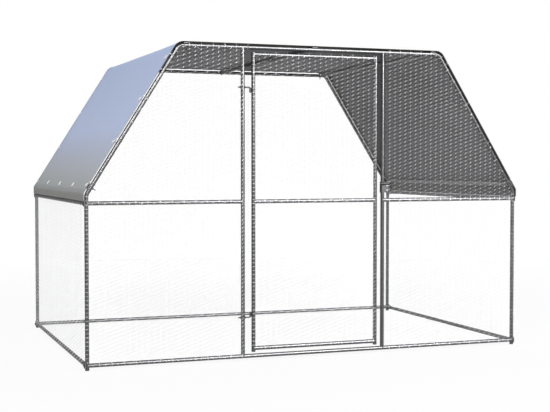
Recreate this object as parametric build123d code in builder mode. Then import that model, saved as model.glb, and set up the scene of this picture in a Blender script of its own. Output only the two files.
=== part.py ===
"""Walk-in chicken coop: a bolted frame of galvanised tube, wire netting, a hung door and a roof cover.

Millimetres. The origin is the bottom centre of the whole coop: +X to the right as seen from the door,
the door faces -Y, +Z up. Heights and widths of the frame are given between tube axes.
"""

import os
from math import atan, cos, hypot, pi, sin, sqrt, tan

from build123d import *

# Frame
frame_width = 2956.0
frame_depth = 1954.0
eave_height = 1062.0
top_height = 1979.0
top_width = 1796.0
bottom_rail_height = 30.0
mid_rail_drop = 52.0
tube_diameter = 25.0
tube_wall = 1.2
bend_radius = 45.0
open_end_depth = 60.0
seat_gap = 0.1

# Joints inside the gable frames: a reduced spigot on each leg plugs into the top rail
seam_past_bend = 5.0
swage_length = 4.0
spigot_length = 50.0
spigot_clearance = 0.2
socket_end_gap = 5.0

# Purlins and side rails: the ends are pressed flat and lap the outer side of the gable tubes
eave_purlin_offset = 52.0
top_purlin_inset = 45.0
flat_past_tube = 4.5
flat_taper = 40.0

# Fasteners of the frame: coach bolts, with square shanks in square holes, and nuts
bolt_width = 6.0
bolt_length = 48.0
ridge_bolt_length = 35.0
bolt_head_diameter = 20.0
bolt_head_height = 6.0
bolt_head_chamfer = 4.0
bolt_hole_clearance = 0.2
nut_across_flats = 10.0
nut_height = 5.0

# Door
door_post_x = 486.0
door_left_gap = 70.5
door_right_gap = 52.5
door_bottom = 55.0
door_top_gap = 29.0
door_rail_inset = 22.5
door_top_rail_inset = 13.0

# Hinges
pin_diameter = 8.0
pin_clearance = 0.08
pintle_hole_clearance = 0.3
hinge_inset = 221.0
sleeve_diameter = 14.0
sleeve_length = 27.0
sleeve_end_gap = 0.3
pin_past_sleeve = 3.0
pintle_tail = 12.0
pintle_nut_across_flats = 13.0
pintle_nut_height = 6.5

# Latch
latch_above_rail = 84.0
latch_plate_height = 70.0
latch_plate_reach = 41.0
latch_plate_thickness = 2.0
clamp_fold_radius = 8.0
latch_bolt_rise = 24.5
latch_bolt_diameter = 13.0
latch_bolt_clearance = 0.08
latch_bolt_tip = 15.0
latch_tip_chamfer = 1.5
latch_bolt_past_knob = 6.0
latch_travel = 24.0
barrel_wall = 2.5
barrel_length = 17.0
barrel_weld_depth = 0.8
latch_knob_diameter = 6.0
latch_knob_length = 10.0
latch_knob_end_gap = 0.4
latch_knob_clearance = 0.1
latch_knob_depth = 5.0
latch_knob_chamfer = 1.0
clamp_bolt_offset = 26.0
clamp_bolt_spacing = 29.0
clamp_bolt_drop = 5.5
clamp_bolt_length = 40.0
clamp_bolt_head_diameter = 14.0

# Netting, with far fewer and larger gaps than real netting
net_gap_width = 350.0
net_strand = 9.0
net_thickness = 2.0
net_seat = 0.2
net_border = 18.0
net_post_clear = 22.0
net_notch_clear = 3.0
net_smallest_gap = 0.03

# Roof cover
cover_thickness = 1.5
cover_rest_gap = 0.3
flap_stand_off = 5.0
hem_above_rail = 13.0
eave_fold_radius = 25.0

# Ties, along each edge of a slope and along each eave between the corners
ties_along_edge = 4
first_tie_offset = 80.0
last_tie_inset = 80.0
ties_along_eave = 3
tie_width = 5.0
tie_thickness = 1.2
tie_gap = 0.4
tie_slot_gap = 0.3
tie_slot_depth = 8.0

# Sizes that follow from those above
mid_rail_height = eave_height - mid_rail_drop
tube_radius = tube_diameter / 2
bore_radius = tube_radius - tube_wall
spigot_radius = bore_radius - spigot_clearance
half_width = frame_width / 2
half_top = top_width / 2
slope_run = half_width - half_top
slope_rise = top_height - eave_height
slope_length = hypot(slope_run, slope_rise)
slope_angle = atan(slope_rise / slope_run)
top_tangent = bend_radius * tan(slope_angle / 2)
top_seam = top_tangent + seam_past_bend
past_swage = swage_length + seat_gap
socket_depth = spigot_length + socket_end_gap
top_purlin_x = half_top - top_purlin_inset

flat_thickness = 2 * tube_wall
flat_width = pi * (tube_diameter - tube_wall) / 2
flat_offset = flat_thickness + seat_gap
flat_seat = tube_radius + flat_offset
bolt_hole_width = bolt_width + 2 * bolt_hole_clearance

net_reach = tube_radius + net_seat + net_thickness
plate_reach = tube_radius + seat_gap + latch_plate_thickness
latch_height = mid_rail_height + latch_above_rail
latch_bolt_radius = latch_bolt_diameter / 2
barrel_bore = latch_bolt_radius + latch_bolt_clearance
barrel_radius = barrel_bore + barrel_wall
latch_bolt_reach = plate_reach - barrel_weld_depth + barrel_radius
front_reach = latch_bolt_reach + latch_bolt_radius + latch_knob_length
tie_face_reach = net_reach + tie_gap + tie_thickness
front_y = -frame_depth / 2 + (front_reach - tie_face_reach) / 2
back_y = front_y + frame_depth

hinge_stile_x = -door_post_x + door_left_gap
latch_stile_x = door_post_x - door_right_gap
door_top = top_height - door_top_gap
door_bottom_rail_z = door_bottom + door_rail_inset
door_top_rail_z = door_top - door_top_rail_inset
post_face = tube_radius + seat_gap
sleeve_radius = sleeve_diameter / 2
hinge_x = hinge_stile_x - tube_radius - seat_gap - sleeve_radius
pin_radius = pin_diameter / 2
upper_hinge_height = door_top - hinge_inset
lower_hinge_height = door_bottom + hinge_inset
hinge_heights = (upper_hinge_height, lower_hinge_height)

tie_spacing = (slope_length - first_tie_offset - last_tie_inset) / (ties_along_edge - 1)
tie_distances = [first_tie_offset + place * tie_spacing for place in range(ties_along_edge)]
tie_reach = tube_radius + tie_gap + tie_thickness
tie_leg_middle = tie_reach - tie_thickness / 2
tie_slot_length = tie_width + 2 * tie_slot_gap
tie_slot_width = tie_thickness + 2 * tie_slot_gap

cover_offset = flat_seat + bolt_head_height + cover_rest_gap
cover_outer = cover_offset + cover_thickness
cover_top = top_height + cover_offset
cover_corner_x = half_top + cover_offset * tan(slope_angle / 2)
hem_height = mid_rail_height + hem_above_rail
flap_x = half_width + tube_radius + flap_stand_off
flap_bend_z = cover_top - (flap_x - cover_corner_x) * tan(slope_angle)

UP = (0, 0, 1)
RIGHT = (1, 0, 0)
SIDES = {"left": -1, "right": 1}
ENDS = {"front": front_y, "back": back_y}
pieces = {}


def slope_direction(side):
    """Unit vector up the slope, from the eave towards the top."""
    return Vector(-side * cos(slope_angle), 0, sin(slope_angle))


def slope_normal(side):
    """Unit vector out of the slope."""
    return Vector(side * sin(slope_angle), 0, cos(slope_angle))


def on_slope(side, y, distance):
    """Point on a rafter's axis, at a distance up the slope from the eave corner."""
    return Vector(side * half_width, y, eave_height) + slope_direction(side) * distance


def drill(point, direction, radius, depth):
    """Cut a round hole, centred on a point, in the part that is being built."""
    with Locations(Plane(origin=point, z_dir=direction)):
        Cylinder(radius, depth, mode=Mode.SUBTRACT)


def bolt_hole(point, direction):
    """Cut a square bolt hole, as long as a bolt each way from a point, in the part that is being built."""
    with Locations(Plane(origin=point, z_dir=direction)):
        Box(bolt_hole_width, bolt_hole_width, 2 * bolt_length, mode=Mode.SUBTRACT)


def gable_leg(side, y):
    """Leg of a gable frame: a corner post that bends into the slope and into the top, with a spigot at its end."""
    inward = Vector(-side, 0, 0)
    seam = Vector(side * (half_top - top_seam), y, top_height)
    spigot_end = swage_length + spigot_length
    with BuildPart() as leg:
        with BuildLine(Plane.XZ.offset(-y)) as path:
            FilletPolyline(
                (side * half_width, 0),
                (side * half_width, eave_height),
                (side * half_top, top_height),
                (seam.X, seam.Z),
                radius=bend_radius,
            )
        with BuildSketch():
            with Locations((side * half_width, y)):
                Circle(tube_radius)
        sweep(path=path.line)
        with BuildSketch(Plane(origin=seam, x_dir=inward, z_dir=(0, -1, 0))):
            with BuildLine():
                Polyline(
                    (0, 0),
                    (0, tube_radius),
                    (swage_length, spigot_radius),
                    (spigot_end, spigot_radius),
                    (spigot_end, 0),
                    close=True,
                )
            make_face()
        revolve(axis=Axis(seam, inward))
        bolt_hole((side * half_width, y, bottom_rail_height), inward)
        bolt_hole((side * half_width, y, mid_rail_height), inward)
        bolt_hole(on_slope(side, y, eave_purlin_offset), slope_normal(side))
        bolt_hole((side * top_purlin_x, y, top_height), UP)
    return leg


def straight_tube(start, end, holes=(), end_bore=None, cope_to=None):
    """Tube between two points, open for end_bore at both ends or coped to tubes that run the way of cope_to.

    Each hole is a point and a direction.
    """
    run = Vector(end) - Vector(start)
    with BuildPart() as tube:
        with BuildSketch(Plane(origin=start, z_dir=run)):
            Circle(tube_radius)
        extrude(amount=run.length)
        for point in (start, end):
            if end_bore is not None:
                drill(point, run, bore_radius, 2 * end_bore)
            if cope_to is not None:
                drill(point, cope_to, tube_radius + seat_gap, 2 * tube_diameter)
        for point, direction in holes:
            bolt_hole(point, direction)
    return tube


def flat_ended_tube(point, outward):
    """Tube from front to back whose ends are pressed flat and lap the outer side of the gable tubes.

    The point is on the gable tubes' axis, at any y. Outward is the side that the flats lie on.
    """
    along = Vector(0, 1, 0)
    axis_point = Vector(point.X, front_y, point.Z) + outward * flat_offset
    flat_inner = tube_radius - flat_thickness
    flat_end = tube_radius + flat_past_tube
    round_start = flat_end + flat_taper
    chord = sqrt(tube_radius**2 - flat_inner**2)
    start = Plane(origin=axis_point, z_dir=along)
    with BuildPart() as tube:
        with BuildSketch(start.offset(flat_end)):
            Circle(tube_radius)
        extrude(amount=frame_depth / 2 - flat_end)
        with BuildSketch(Plane(origin=axis_point, x_dir=along, z_dir=along.cross(outward))):
            with BuildLine():
                Polyline(
                    (flat_end, flat_inner),
                    (round_start, -tube_radius),
                    (round_start, -tube_diameter),
                    (flat_end, -tube_diameter),
                    close=True,
                )
            make_face()
        extrude(amount=tube_diameter, both=True, mode=Mode.SUBTRACT)
        with BuildSketch(Plane(origin=axis_point + outward * flat_inner, x_dir=along, z_dir=outward)):
            with BuildLine():
                Polyline(
                    (-tube_radius, -flat_width / 2),
                    (flat_end, -flat_width / 2),
                    (round_start, -chord),
                    (round_start, chord),
                    (flat_end, flat_width / 2),
                    (-tube_radius, flat_width / 2),
                    close=True,
                )
            make_face()
        extrude(amount=flat_thickness)
        bolt_hole(axis_point, outward)
        mirror(about=start.offset(frame_depth / 2))
    return tube


def coach_bolt(length, nut_place=None, head_diameter=bolt_head_diameter):
    """Bolt along +Z with its head's seat at the origin, a square shank and a nut at nut_place."""
    with BuildPart() as bolt:
        with BuildSketch():
            RegularPolygon(head_diameter / 2, 8)
        extrude(amount=-bolt_head_height)
        chamfer(bolt.faces().sort_by(Axis.Z)[0].edges(), bolt_head_chamfer)
        with BuildSketch():
            Rectangle(bolt_width, bolt_width)
        extrude(amount=length)
        if nut_place is not None:
            with BuildSketch(Plane.XY.offset(nut_place)):
                RegularPolygon(nut_across_flats / 2, 6, major_radius=False)
            extrude(amount=nut_height)
    return bolt.part


def group_of(shape, planes):
    """Copies of one shape, as separate solids of one piece."""
    with BuildPart() as group:
        with Locations(*planes):
            add(shape)
    return group


def tie_slots(side):
    """Middles and angles of the slots that a gable's net has for the ties of one slope."""
    angle = Vector(1, 0, 0).get_angle(slope_direction(side))
    slots = []
    for distance in tie_distances:
        middle = on_slope(side, 0, distance) - slope_normal(side) * tie_leg_middle
        slots.append(((middle.X, middle.Z), angle))
    return slots


def wire_net(plane, outline, notch=None, slots=()):
    """Flat net on a plane: a border round six-sided gaps whose upper and lower sides are level.

    The outline's points, the notch's low and high corners and the middles and angles of the slots for ties
    are in the plane's own coordinates.
    """
    row_step = net_gap_width + net_strand
    column_step = row_step * sqrt(3) / 2
    xs = [x for x, _ in outline]
    zs = [z for _, z in outline]
    columns = int((max(xs) - min(xs)) / column_step / 2) + 1
    rows = int((max(zs) - min(zs)) / row_step / 2) + 1
    centres = []
    for column in range(-columns, columns + 1):
        stagger = row_step / 2 if column % 2 else 0
        for row in range(-rows, rows + 1):
            x = (min(xs) + max(xs)) / 2 + column * column_step
            z = (min(zs) + max(zs)) / 2 + row * row_step + stagger
            centres.append((x, z))
    with BuildSketch() as sheet:
        with BuildLine():
            Polyline(*outline, close=True)
        make_face()
        if notch is not None:
            low, high = notch
            with Locations(((low[0] + high[0]) / 2, (low[1] + high[1]) / 2)):
                Rectangle(high[0] - low[0], high[1] - low[1], mode=Mode.SUBTRACT)
    with BuildSketch() as gaps:
        with Locations(*centres):
            RegularPolygon(net_gap_width / 2, 6, major_radius=False)
        offset(sheet.sketch, -net_border, kind=Kind.INTERSECTION, mode=Mode.INTERSECT)
    smallest = net_smallest_gap * row_step * column_step
    kept_gaps = [gap for gap in gaps.faces() if gap.area > smallest]
    with BuildPart() as net:
        with BuildSketch(plane):
            add(sheet.sketch)
            add(kept_gaps, mode=Mode.SUBTRACT)
            for middle, angle in slots:
                with Locations(middle):
                    Rectangle(tie_slot_length, tie_slot_width, rotation=angle, mode=Mode.SUBTRACT)
        extrude(amount=net_thickness)
    return net


# Gable frames
end_x = half_top - top_seam - past_swage
for end, y in ENDS.items():
    for name, side in SIDES.items():
        pieces[f"{end}_{name}_leg"] = gable_leg(side, y)
    pieces[f"{end}_top_rail"] = straight_tube(
        (-end_x, y, top_height),
        (end_x, y, top_height),
        [((x, y, top_height), UP) for x in (-top_purlin_x, 0, top_purlin_x)],
        end_bore=socket_depth,
    )

# Rails and door posts
for end, y in ENDS.items():
    rail_ends = ((-half_width, y, bottom_rail_height), (half_width, y, bottom_rail_height))
    pieces[f"{end}_bottom_rail"] = straight_tube(
        *rail_ends, [(point, RIGHT) for point in rail_ends], cope_to=UP
    )
for name, side in SIDES.items():
    post_x = side * door_post_x
    corner = (side * half_width, front_y, mid_rail_height)
    pieces[f"front_{name}_mid_rail"] = straight_tube(
        (post_x, front_y, mid_rail_height), corner, [(corner, RIGHT)], cope_to=UP
    )
    post_ends = ((post_x, front_y, bottom_rail_height), (post_x, front_y, top_height))
    with BuildPart() as door_post:
        add(straight_tube(*post_ends, cope_to=RIGHT).part)
        if name == "left":
            for z in hinge_heights:
                drill((post_x, front_y, z), RIGHT, pin_radius + pintle_hole_clearance, 2 * tube_diameter)
    pieces[f"{name}_door_post"] = door_post
    for level, z in (("bottom", bottom_rail_height), ("mid", mid_rail_height)):
        pieces[f"{name}_{level}_rail"] = flat_ended_tube(Vector(side * half_width, 0, z), Vector(side, 0, 0))

# Purlins
purlin_lines = [("ridge_purlin", Vector(0, 0, top_height), Vector(0, 0, 1))]
for name, side in SIDES.items():
    purlin_lines.append((f"{name}_top_purlin", Vector(side * top_purlin_x, 0, top_height), Vector(0, 0, 1)))
    purlin_lines.append((f"{name}_eave_purlin", on_slope(side, 0, eave_purlin_offset), slope_normal(side)))
for name, point, outward in purlin_lines:
    pieces[name] = flat_ended_tube(point, outward)

# Bolts: those at the ends of front and back rails screw into them, the others go right through
screwed_planes = []
through_planes = []
ridge_planes = []
for side in SIDES.values():
    for y in ENDS.values():
        for z in (bottom_rail_height, mid_rail_height):
            seat = Plane(origin=(side * (half_width + flat_seat), y, z), z_dir=(-side, 0, 0))
            has_rail = y == front_y or z == bottom_rail_height
            (screwed_planes if has_rail else through_planes).append(seat)
for name, point, outward in purlin_lines:
    for y in ENDS.values():
        seat = Plane(origin=Vector(point.X, y, point.Z) + outward * flat_seat, z_dir=-outward)
        (ridge_planes if name == "ridge_purlin" else through_planes).append(seat)
nut_place = flat_seat + post_face
pieces["corner_bolts"] = group_of(coach_bolt(bolt_length), screwed_planes)
pieces["through_bolts"] = group_of(coach_bolt(bolt_length, nut_place), through_planes)
pieces["ridge_bolts"] = group_of(coach_bolt(ridge_bolt_length, nut_place), ridge_planes)

# Door
for name, x in (("hinge", hinge_stile_x), ("latch", latch_stile_x)):
    pieces[f"door_{name}_stile"] = straight_tube(
        (x, front_y, door_bottom), (x, front_y, door_top), end_bore=open_end_depth
    )
for name, z in (("bottom", door_bottom_rail_z), ("mid", mid_rail_height), ("top", door_top_rail_z)):
    pieces[f"door_{name}_rail"] = straight_tube(
        (hinge_stile_x, front_y, z), (latch_stile_x, front_y, z), cope_to=UP
    )

# Hinges: the upper pin points down and the lower one up, so the door can't be lifted off
sleeve_start = pin_radius + sleeve_end_gap
to_post = door_post_x + hinge_x
pintle_length = to_post + post_face + pintle_nut_height + pintle_tail
with BuildPart() as sleeve:
    with BuildSketch(Plane.XY.offset(sleeve_start)):
        Circle(sleeve_radius)
        Circle(pin_radius + pin_clearance, mode=Mode.SUBTRACT)
    extrude(amount=sleeve_length)
with BuildPart() as pintle:
    with BuildLine(Plane.XZ) as pintle_path:
        Polyline((-pintle_length, 0), (0, 0), (0, sleeve_start + sleeve_length + pin_past_sleeve))
    with BuildSketch(Plane(origin=(-pintle_length, 0, 0), z_dir=RIGHT)):
        Circle(pin_radius)
    sweep(path=pintle_path.line, transition=Transition.RIGHT)
    for nut_x, way in ((-to_post - post_face, -1), (-to_post + post_face, 1)):
        with BuildSketch(Plane(origin=(nut_x, 0, 0), z_dir=(way, 0, 0))):
            RegularPolygon(pintle_nut_across_flats / 2, 6, major_radius=False)
        extrude(amount=pintle_nut_height)
hinge_planes = [
    Plane(origin=(hinge_x, front_y, upper_hinge_height), x_dir=RIGHT, z_dir=(0, 0, -1)),
    Plane(origin=(hinge_x, front_y, lower_hinge_height), x_dir=RIGHT, z_dir=(0, 0, 1)),
]
pieces["hinge_sleeves"] = group_of(sleeve.part, hinge_planes)
pieces["hinge_pintles"] = group_of(pintle.part, hinge_planes)

# Latch: a strap folded round the right door post, a barrel on its front and a bolt that slides to the left
latch_bolt_z = latch_height + latch_bolt_rise
latch_bolt_y = front_y - latch_bolt_reach
barrel_x = door_post_x - plate_reach + clamp_fold_radius
latch_knob_x = barrel_x + barrel_length + latch_knob_diameter / 2 + latch_knob_end_gap + latch_travel
latch_tip_x = door_post_x - tube_radius - latch_bolt_tip
latch_bolt_end_x = latch_knob_x + latch_bolt_past_knob
clamp_bolt_x = door_post_x + clamp_bolt_offset
clamp_bolt_zs = [latch_height - clamp_bolt_drop + place * clamp_bolt_spacing / 2 for place in (-1, 1)]
with BuildPart() as latch_clamp:
    with BuildSketch(Plane.XY.offset(latch_height - latch_plate_height / 2)):
        with BuildLine():
            FilletPolyline(
                (door_post_x + latch_plate_reach, front_y - plate_reach),
                (door_post_x - plate_reach, front_y - plate_reach),
                (door_post_x - plate_reach, front_y + plate_reach),
                (door_post_x + latch_plate_reach, front_y + plate_reach),
                radius=clamp_fold_radius,
            )
            offset(amount=latch_plate_thickness, side=Side.RIGHT)
        make_face()
    extrude(amount=latch_plate_height)
    with BuildSketch(Plane(origin=(barrel_x, latch_bolt_y, latch_bolt_z), z_dir=RIGHT)):
        Circle(barrel_radius)
    extrude(amount=barrel_length)
    drill((barrel_x, latch_bolt_y, latch_bolt_z), RIGHT, barrel_bore, 4 * barrel_length)
    for z in clamp_bolt_zs:
        bolt_hole((clamp_bolt_x, front_y, z), (0, 1, 0))
pieces["latch_clamp"] = latch_clamp
with BuildPart() as latch_bolt:
    with BuildSketch(Plane(origin=(latch_tip_x, latch_bolt_y, latch_bolt_z), z_dir=RIGHT)):
        Circle(latch_bolt_radius)
    extrude(amount=latch_bolt_end_x - latch_tip_x)
    chamfer(latch_bolt.faces().sort_by(Axis.X)[0].edges(), latch_tip_chamfer)
    knob_plane = Plane(
        origin=(latch_knob_x, latch_bolt_y - latch_bolt_radius + latch_knob_depth, latch_bolt_z),
        z_dir=(0, -1, 0),
    )
    with BuildSketch(knob_plane):
        Circle(latch_knob_diameter / 2 + latch_knob_clearance)
    extrude(amount=latch_bolt_radius, mode=Mode.SUBTRACT)
pieces["latch_bolt"] = latch_bolt
with BuildPart() as latch_knob:
    with BuildSketch(knob_plane):
        Circle(latch_knob_diameter / 2)
    extrude(amount=latch_knob_depth + latch_knob_length)
    chamfer(latch_knob.faces().sort_by(Axis.Y)[0].edges(), latch_knob_chamfer)
pieces["latch_knob"] = latch_knob
pieces["latch_clamp_bolts"] = group_of(
    coach_bolt(clamp_bolt_length, 2 * plate_reach, clamp_bolt_head_diameter),
    [Plane(origin=(clamp_bolt_x, front_y - plate_reach, z), z_dir=(0, 1, 0)) for z in clamp_bolt_zs],
)

# Nets, on the outer side of the tubes that carry them and out to the tubes' axes
front_net_plane = Plane.XZ.offset(tube_radius + net_seat - front_y)
back_net_plane = Plane(origin=(0, back_y + tube_radius + net_seat, 0), x_dir=(-1, 0, 0), z_dir=(0, 1, 0))
latch_notch = (
    (door_post_x - tube_diameter, latch_height - latch_plate_height / 2 - net_notch_clear),
    (door_post_x + latch_plate_reach + net_notch_clear, latch_height + latch_plate_height / 2 + net_notch_clear),
)
for name, side in SIDES.items():
    front_outline = [
        (side * half_width, bottom_rail_height),
        (side * half_width, eave_height),
        (side * half_top, top_height),
        (side * door_post_x, top_height),
        (side * door_post_x, bottom_rail_height),
    ]
    pieces[f"front_{name}_net"] = wire_net(
        front_net_plane,
        front_outline,
        notch=latch_notch if name == "right" else None,
        slots=tie_slots(side),
    )
    side_plane = Plane(
        origin=(side * (half_width + flat_seat + net_seat), 0, 0), x_dir=(0, side, 0), z_dir=(side, 0, 0)
    )
    side_ends = (side * (front_y + net_post_clear), side * (back_y - net_post_clear))
    side_outline = [
        (side_ends[0], bottom_rail_height),
        (side_ends[1], bottom_rail_height),
        (side_ends[1], mid_rail_height),
        (side_ends[0], mid_rail_height),
    ]
    pieces[f"{name}_net"] = wire_net(side_plane, side_outline)
door_outline = [
    (hinge_stile_x, door_bottom_rail_z),
    (latch_stile_x, door_bottom_rail_z),
    (latch_stile_x, door_top_rail_z),
    (hinge_stile_x, door_top_rail_z),
]
pieces["door_net"] = wire_net(front_net_plane, door_outline)
back_outline = [
    (-half_width, bottom_rail_height),
    (half_width, bottom_rail_height),
    (half_width, eave_height),
    (half_top, top_height),
    (-half_top, top_height),
    (-half_width, eave_height),
]
pieces["back_net"] = wire_net(back_net_plane, back_outline, slots=tie_slots(-1) + tie_slots(1))

# Ties: each is a flat ring, drawn on a plane through the axis of the tube that it holds
edge_ties = []
eave_ties = []
for side in SIDES.values():
    out = slope_normal(side)
    up = slope_direction(side)
    for distance in tie_distances:
        for y, face in ((front_y, -1), (back_y, 1)):
            away = Vector(0, face, 0)
            edge_ties.append(Plane(origin=on_slope(side, y, distance), x_dir=away, z_dir=away.cross(out)))
    for place in range(ties_along_eave):
        y = front_y + frame_depth * (place + 1) / (ties_along_eave + 1)
        eave_axis = on_slope(side, y, eave_purlin_offset) + out * flat_offset
        eave_ties.append(Plane(origin=eave_axis, x_dir=up, z_dir=up.cross(out)))
tie_kinds = (
    (edge_ties, tie_face_reach, cover_outer + tie_gap + tie_thickness),
    (eave_ties, tie_reach, cover_outer - flat_offset + tie_gap + tie_thickness),
)
with BuildPart() as cover_ties:
    for tie_planes, reach_away, reach_out in tie_kinds:
        middle = ((reach_away - tie_reach) / 2, (reach_out - tie_reach) / 2)
        with BuildSketch(*tie_planes):
            with Locations(middle):
                Rectangle(reach_away + tie_reach, reach_out + tie_reach)
                Rectangle(
                    reach_away + tie_reach - 2 * tie_thickness,
                    reach_out + tie_reach - 2 * tie_thickness,
                    mode=Mode.SUBTRACT,
                )
        extrude(amount=tie_width / 2, both=True)
pieces["cover_ties"] = cover_ties

# Roof cover, with a slot for each leg of a tie that goes through it
slot_legs = [(plane, -tie_leg_middle, cover_offset) for plane in edge_ties]
for plane in eave_ties:
    slot_legs.append((plane, -tie_leg_middle, cover_offset - flat_offset))
    slot_legs.append((plane, tie_leg_middle, cover_offset - flat_offset))
with BuildPart() as roof_cover:
    with BuildSketch(Plane.XZ.offset(net_reach - front_y)):
        with BuildLine():
            FilletPolyline(
                (-flap_x, hem_height),
                (-flap_x, flap_bend_z),
                (-cover_corner_x, cover_top),
                (cover_corner_x, cover_top),
                (flap_x, flap_bend_z),
                (flap_x, hem_height),
                radius=[
                    eave_fold_radius,
                    bend_radius + cover_offset,
                    bend_radius + cover_offset,
                    eave_fold_radius,
                ],
            )
            offset(amount=cover_thickness, side=Side.LEFT)
        make_face()
    extrude(amount=-(frame_depth + 2 * net_reach))
    for plane, leg_x, leg_y in slot_legs:
        with Locations(plane):
            with Locations((leg_x, leg_y)):
                Box(tie_slot_width, tie_slot_depth, tie_slot_length, mode=Mode.SUBTRACT)
pieces["roof_cover"] = roof_cover

os.makedirs("parts", exist_ok=True)
for name, piece in pieces.items():
    piece.part.label = name
    export_step(piece.part, f"parts/{name}.step")
    print(f"{name}: {len(piece.part.solids())} solid(s)")
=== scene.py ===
# %% [markdown]
# # A walk-in chicken coop
# The coop is a frame of galvanised tube with wire netting on its sides, a door that hangs on two
# pintles and a sheet that is tied over the roof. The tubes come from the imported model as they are.
# This lesson gives them their finish, and makes what a solid model leaves plain: the netting, the
# sheet with its hem, the ties and the fasteners.

# %% Load the frame
from math import atan2, cos, exp, hypot, pi, radians, sin, sqrt, tan

import bpy
from mathutils import Matrix, Vector


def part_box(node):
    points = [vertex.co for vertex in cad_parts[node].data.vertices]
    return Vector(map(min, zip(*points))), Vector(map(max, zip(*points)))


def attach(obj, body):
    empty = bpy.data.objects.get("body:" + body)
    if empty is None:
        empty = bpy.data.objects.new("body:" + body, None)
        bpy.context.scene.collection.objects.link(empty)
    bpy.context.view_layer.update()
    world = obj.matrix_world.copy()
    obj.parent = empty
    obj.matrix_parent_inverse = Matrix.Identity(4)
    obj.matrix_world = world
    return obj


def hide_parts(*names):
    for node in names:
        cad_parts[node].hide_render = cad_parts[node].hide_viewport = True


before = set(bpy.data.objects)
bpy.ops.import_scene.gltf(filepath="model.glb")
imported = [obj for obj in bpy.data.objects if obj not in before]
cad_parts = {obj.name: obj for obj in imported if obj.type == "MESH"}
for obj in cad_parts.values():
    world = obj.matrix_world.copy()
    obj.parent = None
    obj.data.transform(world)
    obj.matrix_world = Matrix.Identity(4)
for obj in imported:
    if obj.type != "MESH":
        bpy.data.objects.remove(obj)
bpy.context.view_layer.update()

# %% [markdown]
# Everything that is added later has to sit on the tubes, so the first numbers are read from them.
# A leg's box ends at the outer side of its tube, and its axis is one tube radius further in. Only the
# two bends of a leg can't be read from a box, so their height and width are written here.

# %% Read the tubes' places
tube_radius = 0.0125
eave_z = 1.062
half_top = 0.898
leg_low, leg_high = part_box("front_left_leg")
front_y = (leg_low.y + leg_high.y) / 2
back_low, back_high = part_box("back_left_leg")
back_y = (back_low.y + back_high.y) / 2
half_width = -leg_low.x - tube_radius
top_z = leg_high.z - tube_radius


def node_middle(name):
    """Middle of a node's box."""
    low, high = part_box(name)
    return (low + high) / 2


bottom_z = node_middle("front_bottom_rail").z
mid_z = node_middle("front_left_mid_rail").z
post_x = node_middle("right_door_post").x
hinge_stile_x = node_middle("door_hinge_stile").x
latch_stile_x = node_middle("door_latch_stile").x
door_low_z = node_middle("door_bottom_rail").z
door_high_z = node_middle("door_top_rail").z
slope_angle = atan2(top_z - eave_z, half_width - half_top)
print("frame", round(2 * half_width, 3), "x", round(back_y - front_y, 3), "m, slope", round(slope_angle, 3))

# %% [markdown]
# ## The camera
# The camera stands a little left of the door at chest height, as for a catalogue picture. A long lens
# from eight metres away keeps the tubes almost parallel. Depth of field stays off.

# %% Camera
camera_place = (-2.798, -7.776, 1.244)
camera_turn = -0.3555
camera_tilt = -0.0364
camera_lens = 74.68
bpy.ops.object.select_all(action="DESELECT")
bpy.ops.object.camera_add(location=camera_place, rotation=(pi / 2 + camera_tilt, 0, camera_turn))
camera = bpy.context.object
camera.data.sensor_width = 36
camera.data.lens = camera_lens
bpy.context.scene.camera = camera
print("camera at", camera_place)

# %% [markdown]
# ## Floor, background and light
# The background is plain white. A white that came from strong lamps would bleach the metal, so the
# floor and the world are made white only for the rays that show them: straight from the camera, in a
# reflection or through a clear thing. For all other rays they light the coop softly. Near the coop a
# share of the floor stays an ordinary surface, so that the shadow still falls on it. Further out that
# share fades to nothing, and the floor meets the background without a line.

# %% Helpers for node trees and finishes
def feed(tree, socket, value):
    """Set an input socket to a value, or link it to an output."""
    if isinstance(value, bpy.types.NodeSocket):
        tree.links.new(value, socket)
    else:
        socket.default_value = value


def new_node(tree, kind, **values):
    """Add a node, set its properties and feed its input sockets, all by name."""
    node = tree.nodes.new(kind)
    for name, value in values.items():
        if hasattr(node, name):
            setattr(node, name, value)
        else:
            feed(tree, node.inputs[name.replace("_", " ")], value)
    return node


def math_node(tree, operation, first, second):
    """The result of a math node that is fed by outputs or numbers."""
    node = new_node(tree, "ShaderNodeMath", operation=operation)
    feed(tree, node.inputs[0], first)
    feed(tree, node.inputs[1], second)
    return node.outputs[0]


def show_white(tree):
    """A value that is 1 for rays from the camera, in reflections and through clear things."""
    path = new_node(tree, "ShaderNodeLightPath")
    seen = path.outputs["Is Camera Ray"]
    for name in ("Is Glossy Ray", "Is Transmission Ray"):
        seen = math_node(tree, "MAXIMUM", seen, path.outputs[name])
    return seen


def mix_shaders(tree, share, first, second, output_kind):
    """Mix two shaders by a share, and feed the tree's output with the result."""
    mix = new_node(tree, "ShaderNodeMixShader")
    for socket, source in zip(mix.inputs, (share, first.outputs[0], second.outputs[0])):
        tree.links.new(source, socket)
    new_node(tree, output_kind, Surface=mix.outputs[0])


def give_finish(piece, *finishes):
    """Give a piece its materials, in the order of its slots."""
    piece.data.materials.clear()
    for finish in finishes:
        piece.data.materials.append(finish)


# %% World
world_light = 0.30
world_colour = (0.97, 0.985, 1.0, 1)
white_colour = (1, 1, 1, 1)
world = bpy.data.worlds.new("soft_studio")
bpy.context.scene.world = world
world.use_nodes = True
tree = world.node_tree
tree.nodes.clear()
lighting = new_node(tree, "ShaderNodeBackground", Color=world_colour, Strength=world_light)
shown = new_node(tree, "ShaderNodeBackground", Color=white_colour, Strength=1.0)
mix_shaders(tree, show_white(tree), lighting, shown, "ShaderNodeOutputWorld")
bpy.context.scene.view_settings.view_transform = "Standard"
print("world light", world_light)

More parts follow.
